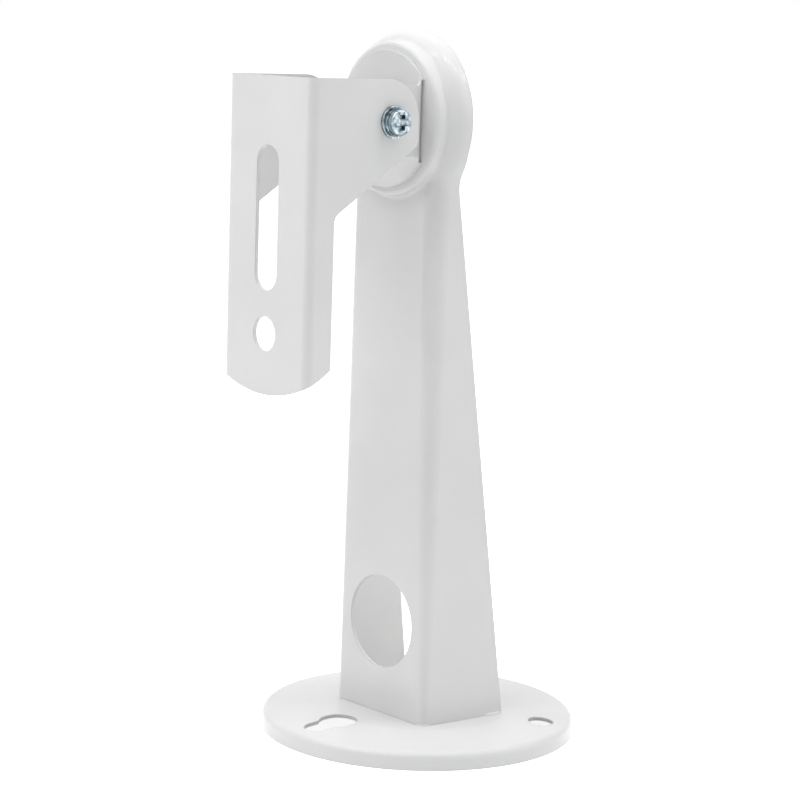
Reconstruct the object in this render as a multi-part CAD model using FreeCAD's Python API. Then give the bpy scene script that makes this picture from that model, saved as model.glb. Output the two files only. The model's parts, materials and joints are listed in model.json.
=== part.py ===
import FreeCAD, Part
import math
import os

# Camera wall bracket, all sizes in millimetres.
# Z = 0 is the wall face of the base, +Z runs along the arm, and the camera plate faces -Y.

# Pressed steel sheet that every painted piece is made of
SHEET = 1.0

# Base: a shallow drawn dish, open towards the wall
BASE_RADIUS = 45.5
BASE_CROWN = 6.25
BASE_DOME_RADIUS = 480.0
BASE_SKIRT_LEAN = 0.05
BASE_RIM_ROUND = 2.0
FIXING_INSET = 8.0
FIXING_HOLE_RADIUS = 3.6
KEYHOLE_HEAD_RADIUS = 5.5
KEYHOLE_TRAVEL = 7.7
KEYHOLE_ANGLE = -90.0
FIXING_COUNT = 3

# Arm: a tapered channel, open at the back, with a round cup for the head
ARM_WEB_Y = -15.0
ARM_FOOT_HALF_WIDTH = 19.3
ARM_TAPER = 0.0112
ARM_FOOT_DEPTH = 28.45
ARM_DEPTH_TAPER = 0.135
ARM_DRAFT = 0.082
ARM_BEND_RADIUS = 2.8
ARM_FOOT_MARGIN = 0.6
CABLE_HOLE_RADIUS = 13.4
CABLE_HOLE_HEIGHT = 26.7

# Head cup at the top of the arm
HEAD_RISE = 169.8
HEAD_RADIUS = 23.95
HEAD_ROUND = 5.3
HEAD_DEPTH = 6.7
NECK_RADIUS = 9.0
COLLAR_RADIUS = 21.3
COLLAR_HEIGHT = 3.35
COLLAR_ROUND = 1.3
COLLAR_ROOT_ROUND = 1.2

# Pivot bracket: a round disc on the collar, with a tab folded forward on each side
TAB_HALF_SPACING = 15.3
DISC_OVERHANG = 3.6
TAB_HEIGHT = 19.0
TAB_BEND_RADIUS = 1.8
TILT_AXIS_REACH = 12.23
THREAD_COLLAR_LENGTH = 1.5
THREAD_COLLAR_WALL = 0.9

# Camera plate: a folded channel whose two ears straddle the tabs
PLATE_BEND_RADIUS = 2.5
PLATE_REACH = 27.72
PLATE_RISE = 11.4
PLATE_DROP = 74.05
EAR_BACK_REACH = 9.08
EAR_CORNER_RADIUS = 11.0
EAR_HEEL_DROP = 6.3
EAR_HEEL_ROUND = 1.5
EAR_SLOPE = 0.655
STRIP_DEPTH = 8.25
STRIP_CORNER_RADIUS = 3.0
PLATE_END_RADIUS = 43.1
PLATE_BEND_ALLOWANCE = 3.6
PLATE_SLOT_RADIUS = 4.73
PLATE_SLOT_BOTTOM = 45.9
PLATE_SLOT_LENGTH = 38.95
PLATE_HOLE_DROP = 57.6

# Tilt screws, one through each ear into the tab behind it
TILT_SCREW_RADIUS = 2.0
TILT_HEAD_RADIUS = 3.5
TILT_HEAD_HEIGHT = 2.0
TILT_WASHER_RADIUS = 4.4
TILT_WASHER_THICKNESS = 0.8
TILT_SPRING_RADIUS = 3.75
TILT_SPRING_THICKNESS = 0.9
TILT_SPACER_RADIUS = 5.0
TILT_SPACER_THICKNESS = 2.15
TILT_SCREW_PAST_COLLAR = 0.8

# Pan bolt through the disc and the collar, with its nut inside the head cup
PAN_BOLT_RADIUS = 2.5
PAN_HEAD_RADIUS = 4.75
PAN_HEAD_HEIGHT = 3.0
PAN_WASHER_RADIUS = 5.0
PAN_WASHER_THICKNESS = 1.0
PAN_SPRING_RADIUS = 4.6
PAN_SPRING_THICKNESS = 1.2
PAN_NUT_FLATS = 8.0
PAN_NUT_HEIGHT = 4.0
PAN_BOLT_PAST_NUT = 1.0

# Clearances
TURNING_CLEARANCE = 0.1
THREAD_CLEARANCE = 0.02
WASHER_CLEARANCE = 0.15

# Sizes and places that follow from those above
FIXING_CIRCLE_RADIUS = BASE_RADIUS - FIXING_INSET
ARM_FOOT_BACK_Y = ARM_WEB_Y + ARM_FOOT_DEPTH
ARM_FOOT_SPREAD = ARM_FOOT_HALF_WIDTH + ARM_DRAFT * ARM_FOOT_DEPTH
BASE_FLAT_RADIUS = math.hypot(ARM_FOOT_SPREAD, max(-ARM_WEB_Y, ARM_FOOT_BACK_Y)) + ARM_FOOT_MARGIN
HEAD_Z = BASE_CROWN + HEAD_RISE
COLLAR_FACE_Y = ARM_WEB_Y - COLLAR_HEIGHT
DISC_FRONT_Y = COLLAR_FACE_Y - SHEET
TILT_Y = DISC_FRONT_Y - TILT_AXIS_REACH
PLATE_FRONT_Y = TILT_Y - PLATE_REACH
PLATE_TOP_Z = HEAD_Z + PLATE_RISE
EAR_BACK_Y = TILT_Y + EAR_BACK_REACH
TAB_INNER_X = TAB_HALF_SPACING - SHEET
DISC_RADIUS = TAB_HALF_SPACING + DISC_OVERHANG
TAB_ROOT_HALF_HEIGHT = math.sqrt(DISC_RADIUS**2 - TAB_HALF_SPACING**2)
PLATE_HALF_WIDTH = TAB_HALF_SPACING + TILT_SPACER_THICKNESS + SHEET
FAR = 100.0


def vec(x, y, z):
    return FreeCAD.Vector(x, y, z)


def block(low, high):
    """A box between two opposite corners."""
    return Part.makeBox(high[0] - low[0], high[1] - low[1], high[2] - low[2], vec(*low))


def rod(radius, start, end):
    """A cylinder from one point to another."""
    run = vec(*end) - vec(*start)
    return Part.makeCylinder(radius, run.Length, vec(*start), run)


def line(a, b):
    return Part.makeLine(vec(*a), vec(*b))


def arc(a, middle, b):
    return Part.Arc(vec(*a), vec(*middle), vec(*b)).toShape()


def polygon_prism(points, direction):
    """The solid swept by a flat polygon along a direction."""
    corners = [vec(*p) for p in points]
    return Part.Face(Part.makePolygon(corners + corners[:1])).extrude(vec(*direction))


def round_edges(solid, radius, wanted):
    """Fillet every edge for which wanted(edge) is true."""
    return solid.makeFillet(radius, [e for e in solid.Edges if wanted(e)])


def along(edge, axis):
    """True for a straight edge along an axis, given as 0, 1 or 2."""
    ends = [v.Point for v in edge.Vertexes]
    if len(ends) != 2:
        return False
    run = ends[1] - ends[0]
    return abs(abs(run[axis]) - edge.Length) < 1e-6 and edge.Length > 1e-6


def passes(edge, **place):
    """True where the edge's centre lies at the stated x, y or z."""
    centre = edge.CenterOfMass
    return all(abs(getattr(centre, key) - value) < 1e-3 for key, value in place.items())


def dish_form(inset):
    """The base's outer form, or with an inset of one sheet the hollow under it."""
    draft = math.hypot(1.0, BASE_SKIRT_LEAN)
    foot = BASE_RADIUS - inset * draft
    top = BASE_CROWN - inset
    dome = BASE_DOME_RADIUS - inset
    dome_z = BASE_CROWN - math.sqrt(BASE_DOME_RADIUS**2 - BASE_FLAT_RADIUS**2)

    def dome_point(radius):
        return (radius, 0, dome_z + math.sqrt(dome**2 - radius**2))

    rim = BASE_RIM_ROUND - inset
    rim_z = BASE_CROWN - BASE_RIM_ROUND
    for _ in range(5):
        rim_x = BASE_RADIUS - BASE_RIM_ROUND * draft - BASE_SKIRT_LEAN * rim_z
        rim_z = dome_z + math.sqrt((BASE_DOME_RADIUS - BASE_RIM_ROUND)**2 - rim_x**2)

    def rim_point(angle):
        return (rim_x + rim * math.cos(angle), 0, rim_z + rim * math.sin(angle))

    on_skirt = math.atan(BASE_SKIRT_LEAN)
    on_dome = math.atan2(rim_z - dome_z, rim_x)
    flat = math.sqrt(dome**2 - (top - dome_z)**2)
    edges = [
        line((0, 0, 0), (foot, 0, 0)),
        line((foot, 0, 0), rim_point(on_skirt)),
        arc(rim_point(on_skirt), rim_point((on_skirt + on_dome) / 2), rim_point(on_dome)),
        arc(rim_point(on_dome), dome_point((rim_x + flat) / 2), dome_point(flat)),
        line(dome_point(flat), (0, 0, top)),
        line((0, 0, top), (0, 0, 0)),
    ]
    return Part.Face(Part.Wire(edges)).revolve(vec(0, 0, 0), vec(0, 0, 1), 360)


def fixing_centre(index):
    angle = math.radians(KEYHOLE_ANGLE + index * 360.0 / FIXING_COUNT)
    return FIXING_CIRCLE_RADIUS * math.cos(angle), FIXING_CIRCLE_RADIUS * math.sin(angle)


def keyhole():
    """The narrow slot that the wall screw slides into, and the round hole that its head enters."""
    x, y = fixing_centre(0)
    inward = KEYHOLE_TRAVEL / FIXING_CIRCLE_RADIUS
    head = (x * (1 - inward), y * (1 - inward))
    slot = block((-FIXING_HOLE_RADIUS, y, 0), (FIXING_HOLE_RADIUS, head[1], BASE_CROWN))
    return slot.fuse([
        rod(FIXING_HOLE_RADIUS, (x, y, 0), (x, y, BASE_CROWN)),
        rod(KEYHOLE_HEAD_RADIUS, (head[0], head[1], 0), (head[0], head[1], BASE_CROWN)),
    ])


def base_plate():
    dish = dish_form(0.0).cut(dish_form(SHEET)).cut(keyhole())
    for index in range(1, FIXING_COUNT):
        x, y = fixing_centre(index)
        dish = dish.cut(rod(FIXING_HOLE_RADIUS, (x, y, 0), (x, y, BASE_CROWN)))
    return dish


def arm_outline(inset, depth, bottom):
    """The arm's section at a depth behind its web: tapered sides, two hollow neck arcs and the round head."""
    slant = math.hypot(1.0, ARM_TAPER)
    draft = math.hypot(1.0, ARM_DRAFT)
    shrink = inset * draft - ARM_DRAFT * depth
    radius = HEAD_RADIUS - shrink
    neck = NECK_RADIUS + shrink

    def half_width(z):
        return ARM_FOOT_HALF_WIDTH - ARM_TAPER * (z - BASE_CROWN) - shrink * slant

    centre_z = HEAD_Z - HEAD_RADIUS
    for _ in range(20):
        centre_x = half_width(centre_z) + neck * slant
        centre_z = HEAD_Z - math.sqrt((radius + neck)**2 - centre_x**2)
    reach = radius / (radius + neck)
    on_head = (centre_x * reach, HEAD_Z + (centre_z - HEAD_Z) * reach)
    on_side = (centre_x - neck / slant, centre_z - neck * ARM_TAPER / slant)
    turn_in = math.atan2(on_head[1] - centre_z, on_head[0] - centre_x)
    turn_out = math.atan2(on_side[1] - centre_z, on_side[0] - centre_x) % (2 * math.pi)
    middle = (turn_in + turn_out) / 2
    on_neck = (centre_x + neck * math.cos(middle), centre_z + neck * math.sin(middle))
    y = ARM_WEB_Y + depth

    def right(point):
        return point[0], y, point[1]

    def left(point):
        return -point[0], y, point[1]

    foot = (half_width(bottom), bottom)
    return Part.Wire([
        line(right(foot), right(on_side)),
        arc(right(on_side), right(on_neck), right(on_head)),
        arc(right(on_head), (0, y, HEAD_Z + radius), left(on_head)),
        arc(left(on_head), left(on_neck), left(on_side)),
        line(left(on_side), left(foot)),
        line(left(foot), right(foot)),
    ])


def round_arm_front(solid, inset):
    """Round the front edges: the sides' tight bend grows along the neck into the head's wide one."""
    tight = ARM_BEND_RADIUS - inset
    wide = HEAD_ROUND - inset
    front = ARM_WEB_Y + inset
    rounds = []
    for index, edge in enumerate(solid.Edges, start=1):
        ends = [v.Point for v in edge.Vertexes]
        if len(ends) != 2 or any(abs(p.y - front) > 1e-6 for p in ends) or along(edge, 0):
            continue
        if along_side(edge):
            rounds.append((index, tight, tight))
        elif edge.Length > HEAD_RADIUS * math.pi:
            rounds.append((index, wide, wide))
        else:
            first = edge.firstVertex(True).Point
            last = edge.lastVertex(True).Point
            rounds.append((index, wide, tight) if first.z > last.z else (index, tight, wide))
    return variable_fillet(solid, rounds)


def along_side(edge):
    return edge.Curve.TypeId == "Part::GeomLine"


def variable_fillet(solid, rounds):
    """Fillet edges, given as (edge number, radius at its start, radius at its end)."""
    document = FreeCAD.newDocument("rounding")
    body = document.addObject("Part::Feature", "body")
    body.Shape = solid
    fillet = document.addObject("Part::Fillet", "fillet")
    fillet.Base = body
    fillet.Edges = rounds
    document.recompute()
    result = fillet.Shape.copy()
    FreeCAD.closeDocument(document.Name)
    return result


def arm_form(inset):
    """The arm's outer form, or with an inset of one sheet the hollow inside it."""
    bottom = BASE_CROWN - inset * 4
    front = ARM_WEB_Y + inset
    sections = [arm_outline(inset, inset, bottom), arm_outline(inset, ARM_FOOT_DEPTH + 2 * SHEET, bottom)]
    solid = round_arm_front(Part.makeLoft(sections, True, True), inset)
    face_y = COLLAR_FACE_Y + inset
    collar = rod(COLLAR_RADIUS - inset, (0, face_y, HEAD_Z), (0, front + HEAD_ROUND, HEAD_Z))
    collar = round_edges(collar, COLLAR_ROUND - inset, lambda e: passes(e, y=face_y))
    solid = solid.fuse(collar).removeSplitter()
    return solid.makeFillet(COLLAR_ROOT_ROUND + inset, collar_root(solid, inset))


def collar_root(solid, inset):
    """The edges along which the collar's side meets the head and the arm's web."""
    found = []
    for edge in solid.Edges:
        radii = [math.hypot(v.Point.x, v.Point.z - HEAD_Z) for v in edge.Vertexes]
        behind = all(v.Point.y > COLLAR_FACE_Y + COLLAR_ROUND + 1e-3 for v in edge.Vertexes)
        if behind and all(abs(radius - COLLAR_RADIUS + inset) < 1e-3 for radius in radii):
            found.append(edge)
    return found


def behind_arm():
    """The space behind the flanges' slanted back edge and the head's straight one."""
    head_y = ARM_WEB_Y + HEAD_DEPTH
    meet_z = BASE_CROWN + (ARM_FOOT_BACK_Y - head_y) / ARM_DEPTH_TAPER
    below = 10.0
    points = [
        (-FAR, ARM_FOOT_BACK_Y + ARM_DEPTH_TAPER * below, BASE_CROWN - below),
        (-FAR, head_y, meet_z),
        (-FAR, head_y, HEAD_Z + FAR),
        (-FAR, FAR, HEAD_Z + FAR),
        (-FAR, FAR, BASE_CROWN - below),
    ]
    return polygon_prism(points, (2 * FAR, 0, 0))


def arm_channel():
    shell = arm_form(0.0).cut(arm_form(SHEET)).cut(behind_arm())
    hole_z = BASE_CROWN + CABLE_HOLE_HEIGHT
    cable = rod(CABLE_HOLE_RADIUS, (0, ARM_WEB_Y - SHEET, hole_z), (0, ARM_WEB_Y + 2 * SHEET, hole_z))
    bore = PAN_BOLT_RADIUS + TURNING_CLEARANCE
    pivot = rod(bore, (0, COLLAR_FACE_Y - SHEET, HEAD_Z), (0, ARM_WEB_Y, HEAD_Z))
    return shell.cut(cable).cut(pivot)


def tab_channel(inset, half_height, front_y):
    """The folded pair of tabs as a solid channel form, open to the front."""
    back_y = COLLAR_FACE_Y - inset
    half = TAB_HALF_SPACING - inset
    solid = block((-half, front_y, HEAD_Z - half_height), (half, back_y, HEAD_Z + half_height))
    return round_edges(solid, TAB_BEND_RADIUS - inset, lambda e: along(e, 2) and passes(e, y=back_y))


def tab_side_outline():
    """The tabs seen from the side: round tips, straight edges and hollow roots that widen to the disc."""
    half = TAB_HEIGHT / 2
    root = TAB_ROOT_HALF_HEIGHT
    hollow = root - half
    hollow_y = DISC_FRONT_Y - hollow
    band = block((-FAR, TILT_Y, HEAD_Z - half), (FAR, COLLAR_FACE_Y, HEAD_Z + half))
    tips = rod(half, (-FAR, TILT_Y, HEAD_Z), (FAR, TILT_Y, HEAD_Z))
    roots = block((-FAR, hollow_y, HEAD_Z - root), (FAR, COLLAR_FACE_Y, HEAD_Z + root))
    for height in (HEAD_Z - root, HEAD_Z + root):
        roots = roots.cut(rod(hollow, (-FAR, hollow_y, height), (FAR, hollow_y, height)))
    return band.fuse([tips, roots])


def pivot_disc():
    """The flat disc, trimmed where the tabs' bends take over."""
    root = TAB_ROOT_HALF_HEIGHT
    disc = rod(DISC_RADIUS, (0, DISC_FRONT_Y, HEAD_Z), (0, COLLAR_FACE_Y, HEAD_Z))
    disc = disc.common(block((-TAB_HALF_SPACING, -FAR, 0), (TAB_HALF_SPACING, FAR, HEAD_Z + FAR)))
    bend_start = TAB_HALF_SPACING - TAB_BEND_RADIUS
    for side in (-1, 1):
        near, far = sorted((side * bend_start, side * FAR))
        disc = disc.cut(block((near, -FAR, HEAD_Z - root), (far, FAR, HEAD_Z + root)))
    return disc


def pivot_bracket():
    tip_y = TILT_Y - TAB_HEIGHT / 2
    tabs = tab_channel(0.0, TAB_ROOT_HALF_HEIGHT, tip_y).cut(tab_channel(SHEET, FAR, -FAR))
    bracket = pivot_disc().fuse(tabs.common(tab_side_outline()))
    thread = TILT_SCREW_RADIUS + THREAD_CLEARANCE
    for side in (-1, 1):
        root = (side * TAB_INNER_X, TILT_Y, HEAD_Z)
        tip = (side * (TAB_INNER_X - THREAD_COLLAR_LENGTH), TILT_Y, HEAD_Z)
        bracket = bracket.fuse(rod(thread + THREAD_COLLAR_WALL, root, tip))
        outside = (side * (TAB_HALF_SPACING + SHEET), TILT_Y, HEAD_Z)
        inside = (side * (TAB_INNER_X - 2 * THREAD_COLLAR_LENGTH), TILT_Y, HEAD_Z)
        bracket = bracket.cut(rod(thread, outside, inside))
    bore = PAN_BOLT_RADIUS + THREAD_CLEARANCE
    bracket = bracket.cut(rod(bore, (0, DISC_FRONT_Y - SHEET, HEAD_Z), (0, COLLAR_FACE_Y + SHEET, HEAD_Z)))
    return bracket.removeSplitter()


def plate_channel(inset):
    half = PLATE_HALF_WIDTH - inset
    front = PLATE_FRONT_Y + inset
    solid = block((-half, front, 0), (half, 0, PLATE_TOP_Z + inset))
    return round_edges(solid, PLATE_BEND_RADIUS - inset, lambda e: along(e, 2) and passes(e, y=front))


def plate_side_outline():
    """The plate seen from the side: two ears behind, narrow strips below them."""
    front = PLATE_FRONT_Y - SHEET
    strip_y = PLATE_FRONT_Y + STRIP_DEPTH
    heel_z = HEAD_Z - EAR_HEEL_DROP
    strip_top = heel_z - EAR_SLOPE * (EAR_BACK_Y - strip_y)
    points = [
        (-FAR, front, 0),
        (-FAR, front, PLATE_TOP_Z),
        (-FAR, EAR_BACK_Y, PLATE_TOP_Z),
        (-FAR, EAR_BACK_Y, heel_z),
        (-FAR, strip_y, strip_top),
        (-FAR, strip_y, 0),
    ]
    solid = polygon_prism(points, (2 * FAR, 0, 0))
    corners = [
        (EAR_CORNER_RADIUS, EAR_BACK_Y, PLATE_TOP_Z),
        (EAR_HEEL_ROUND, EAR_BACK_Y, heel_z),
        (STRIP_CORNER_RADIUS, strip_y, strip_top),
    ]
    for radius, y, z in corners:
        solid = round_edges(solid, radius, lambda e: along(e, 0) and passes(e, y=y, z=z))
    return solid


def plate_end_cut():
    """What lies below the plate's round lower end, which was cut as one arc in the flat sheet."""
    centre_z = HEAD_Z - PLATE_DROP + PLATE_END_RADIUS
    bend = PLATE_HALF_WIDTH - PLATE_BEND_RADIUS
    below = block((-FAR, -FAR, 0), (FAR, FAR, centre_z))
    front = below.cut(rod(PLATE_END_RADIUS, (0, -2 * FAR, centre_z), (0, 2 * FAR, centre_z)))
    flank_y = PLATE_FRONT_Y + PLATE_BEND_RADIUS - bend - PLATE_BEND_ALLOWANCE
    flank = below.cut(rod(PLATE_END_RADIUS, (-2 * FAR, flank_y, centre_z), (2 * FAR, flank_y, centre_z)))
    bend_y = PLATE_FRONT_Y + PLATE_BEND_RADIUS
    reach = 2 * PLATE_BEND_RADIUS
    web = [
        (-bend, bend_y, 0),
        (-bend - reach, bend_y - reach, 0),
        (bend + reach, bend_y - reach, 0),
        (bend, bend_y, 0),
    ]
    flank = flank.cut(polygon_prism(web, (0, 0, centre_z)))
    return front.fuse(flank)


def camera_plate():
    plate = plate_channel(0.0).cut(plate_channel(SHEET))
    plate = plate.common(plate_side_outline()).cut(plate_end_cut())
    bottom = HEAD_Z - PLATE_SLOT_BOTTOM + PLATE_SLOT_RADIUS
    top = HEAD_Z - PLATE_SLOT_BOTTOM + PLATE_SLOT_LENGTH - PLATE_SLOT_RADIUS
    before = PLATE_FRONT_Y - SHEET
    after = PLATE_FRONT_Y + 2 * SHEET
    slot = block((-PLATE_SLOT_RADIUS, before, bottom), (PLATE_SLOT_RADIUS, after, top))
    for height in (bottom, top, HEAD_Z - PLATE_HOLE_DROP):
        slot = slot.fuse(rod(PLATE_SLOT_RADIUS, (0, before, height), (0, after, height)))
    bore = TILT_SCREW_RADIUS + TURNING_CLEARANCE
    screws = rod(bore, (-FAR, TILT_Y, HEAD_Z), (FAR, TILT_Y, HEAD_Z))
    return plate.cut(slot).cut(screws).removeSplitter()


def ring(outer, inner, thickness):
    """A flat ring standing on Z = 0."""
    tall = 3 * thickness
    return rod(outer, (0, 0, 0), (0, 0, thickness)).cut(rod(inner, (0, 0, -tall), (0, 0, tall)))


def spring_ring(outer, inner, thickness):
    """A split lock washer, cut through on a slant."""
    gap = thickness * 0.8
    cutter = block((0, -gap / 2, -3 * thickness), (2 * outer, gap / 2, 3 * thickness))
    cutter.rotate(vec(0, 0, thickness / 2), vec(1, 0, 0), 30)
    return ring(outer, inner, thickness).cut(cutter)


def cross_recess(radius, depth):
    """Two tapered slots that cross, opening upwards at Z = 0."""
    arms = []
    for turn in (0, 90):
        half = radius * 0.26
        top = [(-radius * 0.62, -half, 0), (radius * 0.62, -half, 0)]
        points = top + [(radius * 0.25, -half, -depth), (-radius * 0.25, -half, -depth)]
        arm = polygon_prism(points, (0, 2 * half, 0))
        arm.rotate(vec(0, 0, 0), vec(0, 0, 1), turn)
        arms.append(arm)
    return arms[0].fuse(arms[1])


def screw(head_radius, head_height, radius, length):
    """A round-headed screw: the shank runs down from Z = 0 and the head stands on it."""
    head = rod(head_radius, (0, 0, 0), (0, 0, head_height))
    head = round_edges(head, head_height * 0.35, lambda e: passes(e, z=head_height))
    recess = cross_recess(head_radius, head_height * 0.8)
    recess.translate(vec(0, 0, head_height))
    shank = rod(radius, (0, 0, 0), (0, 0, -length))
    shank = shank.makeChamfer(radius * 0.2, [e for e in shank.Edges if passes(e, z=-length)])
    return head.fuse(shank).cut(recess).removeSplitter()


def hexagon_nut(flats, bore, height):
    """A hexagon nut standing on Z = 0, its corners turned off at both ends."""
    corner = flats / math.sqrt(3)
    points = []
    for step in range(6):
        angle = math.radians(60 * step)
        points.append((corner * math.cos(angle), corner * math.sin(angle), 0))
    nut = polygon_prism(points, (0, 0, height))
    rise = (corner - flats / 2) * 0.6
    cone = rod(corner + rise, (0, 0, 0), (0, 0, height))
    cone = cone.makeChamfer(2 * rise, [e for e in cone.Edges if passes(e, z=0) or passes(e, z=height)])
    return nut.common(cone).cut(rod(bore, (0, 0, -height), (0, 0, 2 * height)))


def place_tilt(shape, seat, side):
    """Turn a piece built along +Z so that it points outwards on one side, its foot at X = seat."""
    shape.rotate(vec(0, 0, 0), vec(0, 1, 0), 90 * side)
    shape.translate(vec(side * seat, TILT_Y, HEAD_Z))
    return shape


def tilt_pieces(name, side):
    """The spacer, flat washer, lock washer and screw of one ear, from the tab outwards."""
    hole = TILT_SCREW_RADIUS + WASHER_CLEARANCE
    washer_x = PLATE_HALF_WIDTH
    spring_x = washer_x + TILT_WASHER_THICKNESS
    head_x = spring_x + TILT_SPRING_THICKNESS
    screw_tip_x = TAB_INNER_X - THREAD_COLLAR_LENGTH - TILT_SCREW_PAST_COLLAR
    spacer = ring(TILT_SPACER_RADIUS, hole, TILT_SPACER_THICKNESS)
    washer = ring(TILT_WASHER_RADIUS, hole, TILT_WASHER_THICKNESS)
    spring = spring_ring(TILT_SPRING_RADIUS, hole, TILT_SPRING_THICKNESS)
    bolt = screw(TILT_HEAD_RADIUS, TILT_HEAD_HEIGHT, TILT_SCREW_RADIUS, head_x - screw_tip_x)
    return {
        "tilt_spacer_" + name: place_tilt(spacer, TAB_HALF_SPACING, side),
        "tilt_flat_washer_" + name: place_tilt(washer, washer_x, side),
        "tilt_spring_washer_" + name: place_tilt(spring, spring_x, side),
        "tilt_screw_" + name: place_tilt(bolt, head_x, side),
    }


def place_pan(shape, seat_y, angle):
    """Turn a piece built along +Z to lie along Y at the head's centre, its foot at Y = seat_y."""
    shape.rotate(vec(0, 0, 0), vec(1, 0, 0), angle)
    shape.translate(vec(0, seat_y, HEAD_Z))
    return shape


def pan_pieces():
    """The bolt from the front, then washer, lock washer and nut inside the head cup."""
    towards_front = 90
    towards_back = -90
    hole = PAN_BOLT_RADIUS + WASHER_CLEARANCE
    washer_y = COLLAR_FACE_Y + SHEET
    spring_y = washer_y + PAN_WASHER_THICKNESS
    nut_y = spring_y + PAN_SPRING_THICKNESS
    tip_y = nut_y + PAN_NUT_HEIGHT + PAN_BOLT_PAST_NUT
    bolt = screw(PAN_HEAD_RADIUS, PAN_HEAD_HEIGHT, PAN_BOLT_RADIUS, tip_y - DISC_FRONT_Y)
    washer = ring(PAN_WASHER_RADIUS, hole, PAN_WASHER_THICKNESS)
    spring = spring_ring(PAN_SPRING_RADIUS, hole, PAN_SPRING_THICKNESS)
    nut = hexagon_nut(PAN_NUT_FLATS, PAN_BOLT_RADIUS + THREAD_CLEARANCE, PAN_NUT_HEIGHT)
    return {
        "pan_bolt": place_pan(bolt, DISC_FRONT_Y, towards_front),
        "pan_flat_washer": place_pan(washer, washer_y, towards_back),
        "pan_spring_washer": place_pan(spring, spring_y, towards_back),
        "pan_nut": place_pan(nut, nut_y, towards_back),
    }


def pieces():
    made = {
        "base_plate": base_plate(),
        "arm_channel": arm_channel(),
        "pivot_bracket": pivot_bracket(),
        "camera_plate": camera_plate(),
    }
    made.update(pan_pieces())
    made.update(tilt_pieces("right", 1))
    made.update(tilt_pieces("left", -1))
    return made


os.makedirs("parts", exist_ok=True)
for node, shape in pieces().items():
    shape.exportStep("parts/" + node + ".step")
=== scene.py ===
import json
import math

import bpy
from mathutils import Matrix, Vector


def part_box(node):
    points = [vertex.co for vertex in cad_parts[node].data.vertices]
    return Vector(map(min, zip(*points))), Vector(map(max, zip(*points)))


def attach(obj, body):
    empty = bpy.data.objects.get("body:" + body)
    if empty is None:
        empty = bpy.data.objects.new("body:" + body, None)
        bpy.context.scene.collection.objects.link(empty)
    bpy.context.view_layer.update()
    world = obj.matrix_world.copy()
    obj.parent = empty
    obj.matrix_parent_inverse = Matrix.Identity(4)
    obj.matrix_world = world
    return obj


# Camera of the photograph, in metres and in the part's own frame
CAMERA_PLACE = Vector((0.51408, -0.45334, 0.20142))
CAMERA_YAW = math.radians(48.447)
CAMERA_PITCH = math.radians(-8.751)
CAMERA_ROLL = math.radians(1.930)
IMAGE_SIZE = 800
FOCAL_PIXELS = 2420.72
CENTRE_PIXEL = (433.46, 400.13)
SENSOR_WIDTH = 36.0

# The middle of the part, which every light looks at
LOOK_AT = Vector((0, 0, 0.11))

# Where the arm's foot stands on the base, from the part's own sizes
WEB_FACE_Y = -0.015
FOOT_HALF_WIDTH = 0.0193
BEND_RADIUS = 0.0028
FLANGE_DRAFT = 0.082
FLANGE_END_Y = 0.01345

# Weld beads: radius and gap between knots in metres, number of knots, thinning at the ends and waviness
CORNER_BEAD_RADIUS = 0.0005
CORNER_KNOTS = 7
FLANGE_BEAD_RADIUS = 0.0007
FLANGE_KNOTS = 6
FLANGE_KNOT_GAP = 0.0012
BEAD_END_SCALE = 0.35
BEAD_WAVE = 0.12

# Colours, linear
ENAMEL_WHITE = (0.80, 0.80, 0.795, 1.0)
ENAMEL_SHADE = (0.765, 0.77, 0.765, 1.0)
# The random mottle between bright and dull zinc is partly the plating's own tone and partly painted glints
# and painted dark reflections
ZINC_BRIGHT = (0.58, 0.67, 0.71, 1.0)
ZINC_DULL = (0.09, 0.13, 0.16, 1.0)
# Near-black colour painted into the zinc's recesses as shade
ZINC_RECESS_SHADE = (0.006, 0.012, 0.015, 1.0)
NYLON_WHITE = (0.78, 0.77, 0.73, 1.0)
NYLON_SHADE = (0.70, 0.69, 0.65, 1.0)
FLOOR_WHITE = (0.90, 0.90, 0.90, 1.0)
BACKGROUND_WHITE = (1.0, 1.0, 1.0, 1.0)
ROOM_TINT = (1.0, 1.0, 1.01, 1.0)

# Strength of the room's light on the far side and on the camera's, and the cosines between which it changes
ROOM_GREY = 0.50
ROOM_DARK = 0.10
ROOM_TURN = (0.2, 1.0)

FLOOR_SIZE = 16.0
FLOOR_GLOW = 0.85

# The rounding that the materials draw over edges, in metres
EDGE_SAMPLES = 6
ENAMEL_EDGE_RADIUS = 0.0005
ZINC_EDGE_RADIUS = 0.0002

# Sizes of the noises' features and heights of the bumps made from them, in metres
CLOUD_SIZE = 0.03
PEEL_SIZE = 0.0009
RIPPLE_SIZE = 0.006
MOTTLE_SIZE = 0.0015
GRAIN_SIZE = 0.0004
NYLON_CLOUD_SIZE = 0.003
PEEL_HEIGHT = 0.00001
PEEL_COAT_HEIGHT = 0.00008
RIPPLE_HEIGHT = 0.00003
GRAIN_HEIGHT = 0.00001
NYLON_HEIGHT = 0.00002

# The range in which nearly all of a noise's output lies
NOISE_RANGE = (0.35, 0.65)

# Gloss
ENAMEL_ROUGHNESS = (0.42, 0.48)
ENAMEL_SPECULAR = 0.05
COAT_WEIGHT = 0.6
COAT_ROUGHNESS = 0.02
COAT_IOR = 1.5
ZINC_ROUGHNESS = (0.12, 0.26)
NYLON_ROUGHNESS = 0.45

# Painted shade in the zinc's recesses, laid in by the ambient occlusion node: reach in metres, and the
# openness at which it is full and at which it is gone
RECESS_SHADE_REACH = 0.0012
RECESS_SHADE_SAMPLES = 8
RECESS_SHADE_OPENNESS = (0.35, 0.85)

# Places of a colour Mix node's sockets
MIX_FACTOR, MIX_FIRST, MIX_SECOND, MIX_RESULT = 0, 6, 7, 2

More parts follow.
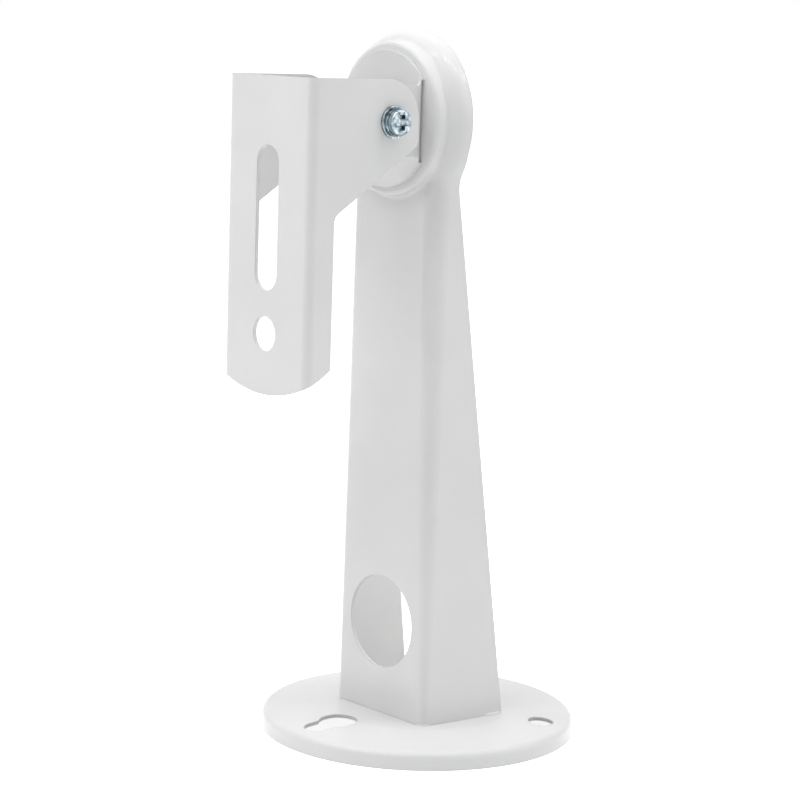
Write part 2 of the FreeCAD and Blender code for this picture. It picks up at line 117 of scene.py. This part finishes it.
# Soft lights: name, azimuth and elevation in degrees, distance, width and height in metres, power in watts
SOFTBOXES = (
    ("front_left", -15, 52, 1.0, 1.2, 0.8, 3.6),
    ("overhead", 0, 88, 0.9, 1.5, 1.5, 3.8),
    ("back_right", 135, 25, 1.0, 0.8, 0.8, 1.8),
    ("low_left", -60, 4, 1.0, 0.8, 0.2, 0.3),
)

# The long narrow light over the part, in metres and watts
TUBE_START = Vector((-0.21, -0.78, 1.0))
TUBE_END = Vector((0.64, 0.77, 1.0))
TUBE_WIDTH = 0.04
TUBE_POWER = 3.2


def node_material(name):
    """A new material, with its node tree and its main shader."""
    material = bpy.data.materials.new(name)
    material.use_nodes = True
    tree = material.node_tree
    return material, tree, tree.nodes["Principled BSDF"]


def add(tree, kind, **values):
    """Add a shader node, setting properties by name and inputs by their shown name."""
    node = tree.nodes.new(kind)
    for key, value in values.items():
        if hasattr(node, key):
            setattr(node, key, value)
        else:
            node.inputs[key.replace("_", " ")].default_value = value
    return node


def noise(tree, size, detail=2.0, roughness=0.5):
    """Noise whose features are about the given size in metres, fixed to the piece."""
    place = add(tree, "ShaderNodeTexCoord")
    texture = add(tree, "ShaderNodeTexNoise", Scale=1.0 / size, Detail=detail, Roughness=roughness)
    tree.links.new(place.outputs["Object"], texture.inputs["Vector"])
    return texture


def mix_colours(tree, factor, first, second):
    """Mix two colours, of which the first may also be another node's output."""
    mix = add(tree, "ShaderNodeMix", data_type="RGBA")
    if isinstance(first, bpy.types.NodeSocket):
        tree.links.new(first, mix.inputs[MIX_FIRST])
    else:
        mix.inputs[MIX_FIRST].default_value = first
    mix.inputs[MIX_SECOND].default_value = second
    tree.links.new(factor, mix.inputs[MIX_FACTOR])
    return mix.outputs[MIX_RESULT]


def map_range(tree, value, source, target):
    """Carry a value over from one range to another, and never past its ends."""
    ranged = add(tree, "ShaderNodeMapRange")
    for end, number in zip(("From Min", "From Max", "To Min", "To Max"), (*source, *target)):
        ranged.inputs[end].default_value = number
    tree.links.new(value, ranged.inputs["Value"])
    return ranged.outputs["Result"]


def spread(tree, texture, low=0.0, high=1.0):
    """Stretch a noise's output over a range."""
    return map_range(tree, texture.outputs["Fac"], NOISE_RANGE, (low, high))


def bump(tree, texture, distance, strength, normal=None):
    """The surface's direction with a noise's bumps on it, and on top of another node's where one is given."""
    node = add(tree, "ShaderNodeBump", Strength=strength, Distance=distance)
    tree.links.new(texture.outputs["Fac"], node.inputs["Height"])
    if normal is not None:
        tree.links.new(normal, node.inputs["Normal"])
    return node.outputs["Normal"]


def enamel():
    """Stoved white enamel: a clear gloss with orange peel, and paint drawn round over the sheet's edges."""
    material, tree, shader = node_material("white_enamel")
    edge = add(tree, "ShaderNodeBevel", samples=EDGE_SAMPLES, Radius=ENAMEL_EDGE_RADIUS)
    cloudy = noise(tree, CLOUD_SIZE, 3.0)
    peel = noise(tree, PEEL_SIZE, 1.0)
    ripple = noise(tree, RIPPLE_SIZE, 1.0)
    colour = mix_colours(tree, spread(tree, cloudy), ENAMEL_WHITE, ENAMEL_SHADE)
    tree.links.new(colour, shader.inputs["Base Color"])
    tree.links.new(spread(tree, cloudy, *ENAMEL_ROUGHNESS), shader.inputs["Roughness"])
    waves = bump(tree, ripple, RIPPLE_HEIGHT, 0.5, edge.outputs["Normal"])
    tree.links.new(bump(tree, peel, PEEL_HEIGHT, 1.0, waves), shader.inputs["Normal"])
    tree.links.new(bump(tree, peel, PEEL_COAT_HEIGHT, 1.0, waves), shader.inputs["Coat Normal"])
    shader.inputs["Specular IOR Level"].default_value = ENAMEL_SPECULAR
    shader.inputs["Coat Weight"].default_value = COAT_WEIGHT
    shader.inputs["Coat Roughness"].default_value = COAT_ROUGHNESS
    shader.inputs["Coat IOR"].default_value = COAT_IOR
    return material


def zinc():
    """Bright bluish zinc plating, mottled and finely grained, with painted shade in its recesses."""
    material, tree, shader = node_material("bright_zinc")
    edge = add(tree, "ShaderNodeBevel", samples=EDGE_SAMPLES, Radius=ZINC_EDGE_RADIUS)
    mottle = noise(tree, MOTTLE_SIZE, 3.0)
    grain = noise(tree, GRAIN_SIZE, 2.0)
    # Mottle of bright and dull zinc: partly a random tone, partly painted glints and painted dark reflections
    clean = mix_colours(tree, spread(tree, mottle), ZINC_BRIGHT, ZINC_DULL)
    # Painted shade: the zinc turns near-black where the ambient occlusion finds it closed in
    recess = add(tree, "ShaderNodeAmbientOcclusion", samples=RECESS_SHADE_SAMPLES, Distance=RECESS_SHADE_REACH)
    recess_shade = map_range(tree, recess.outputs["AO"], RECESS_SHADE_OPENNESS, (1.0, 0.0))
    tree.links.new(mix_colours(tree, recess_shade, clean, ZINC_RECESS_SHADE), shader.inputs["Base Color"])
    tree.links.new(spread(tree, mottle, *ZINC_ROUGHNESS), shader.inputs["Roughness"])
    tree.links.new(bump(tree, grain, GRAIN_HEIGHT, 0.5, edge.outputs["Normal"]), shader.inputs["Normal"])
    shader.inputs["Metallic"].default_value = 1.0
    return material


def nylon():
    """Natural nylon of the spacers, faintly clouded."""
    material, tree, shader = node_material("spacer_nylon")
    cloudy = noise(tree, NYLON_CLOUD_SIZE, 2.0)
    colour = mix_colours(tree, spread(tree, cloudy), NYLON_WHITE, NYLON_SHADE)
    tree.links.new(colour, shader.inputs["Base Color"])
    tree.links.new(bump(tree, cloudy, NYLON_HEIGHT, 0.4), shader.inputs["Normal"])
    shader.inputs["Roughness"].default_value = NYLON_ROUGHNESS
    return material


def dress(frame):
    """Give every piece the material of its slot in the record."""
    made = {"white_enamel": enamel(), "bright_zinc": zinc(), "spacer_plastic": nylon()}
    for row in frame["record"]["subparts"]:
        piece = frame["nodes"][row["node"]]
        piece.data.materials.clear()
        piece.data.materials.append(made[row["material_slot"]])
    return made


def weld_bead(name, points, radius):
    """A painted-over weld bead: a wavy rope of filler along points on the corner between arm and base."""
    curve = bpy.data.curves.new(name, "CURVE")
    curve.dimensions = "3D"
    curve.bevel_depth = radius
    curve.bevel_resolution = 6
    curve.resolution_u = 8
    curve.use_fill_caps = True
    spline = curve.splines.new("BEZIER")
    spline.bezier_points.add(len(points) - 1)
    for index, (knot, place) in enumerate(zip(spline.bezier_points, points)):
        knot.co = place
        knot.handle_left_type = "AUTO"
        knot.handle_right_type = "AUTO"
        at_end = index in (0, len(points) - 1)
        knot.radius = BEAD_END_SCALE if at_end else 1.0 - BEAD_WAVE * (index % 2)
    rope = bpy.data.objects.new(name + "_rope", curve)
    bpy.context.scene.collection.objects.link(rope)
    bpy.context.view_layer.update()
    mesh = bpy.data.meshes.new_from_object(rope.evaluated_get(bpy.context.evaluated_depsgraph_get()))
    bpy.data.objects.remove(rope)
    for face in mesh.polygons:
        face.use_smooth = True
    bead = bpy.data.objects.new(name, mesh)
    bpy.context.scene.collection.objects.link(bead)
    return bead


def make_welds(material):
    """Four short beads at the arm's foot: at both front corners and at both flange ends."""
    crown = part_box("base_plate")[1].z
    for side, hand in ((1, "right"), (-1, "left")):
        corner = []
        for step in range(CORNER_KNOTS):
            angle = math.radians(90 * step / (CORNER_KNOTS - 1))
            x = FOOT_HALF_WIDTH - BEND_RADIUS * (1 - math.sin(angle))
            y = WEB_FACE_Y + BEND_RADIUS * (1 - math.cos(angle))
            corner.append(Vector((side * x, y, crown)))
        flange = []
        for step in range(FLANGE_KNOTS):
            y = FLANGE_END_Y - FLANGE_KNOT_GAP * (FLANGE_KNOTS - 1 - step)
            x = FOOT_HALF_WIDTH + FLANGE_DRAFT * (y - WEB_FACE_Y)
            flange.append(Vector((side * x, y, crown)))
        for bead in (
            weld_bead("weld_front_" + hand, corner, CORNER_BEAD_RADIUS),
            weld_bead("weld_back_" + hand, flange, FLANGE_BEAD_RADIUS),
        ):
            bead.data.materials.append(material)
            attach(bead, "arm")


def shows_background(tree):
    """One for the camera's rays and those that gloss or glass sends on, and none for the light's own."""
    path = add(tree, "ShaderNodeLightPath")
    seen = path.outputs["Is Camera Ray"]
    for kind in ("Is Glossy Ray", "Is Transmission Ray"):
        either = add(tree, "ShaderNodeMath", operation="MAXIMUM")
        tree.links.new(seen, either.inputs[0])
        tree.links.new(path.outputs[kind], either.inputs[1])
        seen = either.outputs["Value"]
    return seen


def make_floor():
    """A pale floor under the base, which shows the part's own soft shadow."""
    bpy.ops.mesh.primitive_plane_add(size=FLOOR_SIZE, location=(0, 0, 0))
    floor = bpy.context.object
    floor.name = "floor"
    material, tree, shader = node_material("floor_white")
    shader.inputs["Base Color"].default_value = FLOOR_WHITE
    shader.inputs["Roughness"].default_value = 1.0
    shader.inputs["Specular IOR Level"].default_value = 0.0
    glow = add(tree, "ShaderNodeMath", operation="MULTIPLY")
    glow.inputs[1].default_value = FLOOR_GLOW
    tree.links.new(shows_background(tree), glow.inputs[0])
    shader.inputs["Emission Color"].default_value = BACKGROUND_WHITE
    tree.links.new(glow.outputs["Value"], shader.inputs["Emission Strength"])
    floor.data.materials.append(material)


def make_world():
    """White to the eye and in reflections, and as light a grey room, darker on the camera's side."""
    world = bpy.data.worlds.new("studio")
    world.use_nodes = True
    bpy.context.scene.world = world
    tree = world.node_tree
    seen = tree.nodes["Background"]
    seen.inputs["Color"].default_value = BACKGROUND_WHITE
    room = add(tree, "ShaderNodeBackground", Color=ROOM_TINT)
    place = add(tree, "ShaderNodeTexCoord")
    facing = add(tree, "ShaderNodeVectorMath", operation="DOT_PRODUCT")
    facing.inputs[1].default_value = (math.sin(CAMERA_YAW), -math.cos(CAMERA_YAW), 0.0)
    tree.links.new(place.outputs["Generated"], facing.inputs[0])
    strength = map_range(tree, facing.outputs["Value"], ROOM_TURN, (ROOM_GREY, ROOM_DARK))
    tree.links.new(strength, room.inputs["Strength"])
    choose = add(tree, "ShaderNodeMixShader")
    tree.links.new(shows_background(tree), choose.inputs[0])
    tree.links.new(room.outputs[0], choose.inputs[1])
    tree.links.new(seen.outputs[0], choose.inputs[2])
    tree.links.new(choose.outputs[0], tree.nodes["World Output"].inputs["Surface"])


def area_light(name, width, height, power):
    """A rectangular light that the camera doesn't see, still to be placed."""
    data = bpy.data.lights.new(name, "AREA")
    data.shape = "RECTANGLE"
    data.size = width
    data.size_y = height
    data.energy = power
    light = bpy.data.objects.new(name, data)
    light.visible_camera = False
    bpy.context.scene.collection.objects.link(light)
    return light


def softbox(name, azimuth, elevation, distance, width, height, power):
    """A soft light that looks at the middle of the part. Azimuth 0 is in front, 90 at +X."""
    a, e = math.radians(azimuth), math.radians(elevation)
    away = Vector((math.sin(a) * math.cos(e), -math.cos(a) * math.cos(e), math.sin(e)))
    light = area_light(name, width, height, power)
    light.location = LOOK_AT + away * distance
    light.rotation_euler = (-away).to_track_quat("-Z", "Y").to_euler()


def striplight(name, start, end, width, power):
    """A long narrow light from one point to another, which looks at the middle of the part."""
    middle = (start + end) / 2
    along = (end - start).normalized()
    outward = middle - LOOK_AT
    outward = (outward - along * outward.dot(along)).normalized()
    across = outward.cross(along)
    light = area_light(name, (end - start).length, width, power)
    light.matrix_world = frame_matrix(along, across, outward, middle)


def make_lights():
    """The studio's lights: the soft ones and the tube."""
    for row in SOFTBOXES:
        softbox(*row)
    striplight("tube", TUBE_START, TUBE_END, TUBE_WIDTH, TUBE_POWER)


def frame_matrix(x_axis, y_axis, z_axis, place):
    """The placing matrix of an object whose own axes point along the three given ones."""
    matrix = Matrix((x_axis, y_axis, z_axis)).transposed().to_4x4()
    matrix.translation = place
    return matrix


def make_camera():
    """The photograph's camera, from a fit to the part's own points."""
    forward = Vector((
        -math.sin(CAMERA_YAW) * math.cos(CAMERA_PITCH),
        math.cos(CAMERA_YAW) * math.cos(CAMERA_PITCH),
        math.sin(CAMERA_PITCH),
    ))
    level_right = forward.cross(Vector((0, 0, 1))).normalized()
    level_up = level_right.cross(forward)
    right = level_right * math.cos(CAMERA_ROLL) + level_up * math.sin(CAMERA_ROLL)
    up = level_up * math.cos(CAMERA_ROLL) - level_right * math.sin(CAMERA_ROLL)
    data = bpy.data.cameras.new("photo_camera")
    data.sensor_width = SENSOR_WIDTH
    data.lens = SENSOR_WIDTH * FOCAL_PIXELS / IMAGE_SIZE
    data.shift_x = (IMAGE_SIZE / 2 - CENTRE_PIXEL[0]) / IMAGE_SIZE
    data.shift_y = (CENTRE_PIXEL[1] - IMAGE_SIZE / 2) / IMAGE_SIZE
    camera = bpy.data.objects.new("photo_camera", data)
    camera.matrix_world = frame_matrix(right, up, -forward, CAMERA_PLACE)
    bpy.context.scene.collection.objects.link(camera)
    bpy.context.scene.camera = camera


with open("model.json") as file:
    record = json.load(file)
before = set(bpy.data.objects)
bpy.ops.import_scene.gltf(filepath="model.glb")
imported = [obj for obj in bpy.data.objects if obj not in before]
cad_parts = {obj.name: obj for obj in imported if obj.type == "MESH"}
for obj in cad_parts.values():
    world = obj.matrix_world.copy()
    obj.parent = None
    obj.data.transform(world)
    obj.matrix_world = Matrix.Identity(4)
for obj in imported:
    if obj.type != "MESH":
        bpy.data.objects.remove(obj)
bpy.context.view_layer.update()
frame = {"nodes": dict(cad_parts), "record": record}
bpy.context.scene.view_settings.view_transform = "Standard"
materials = dress(frame)
make_welds(materials["white_enamel"])
make_floor()
make_world()
make_lights()
make_camera()
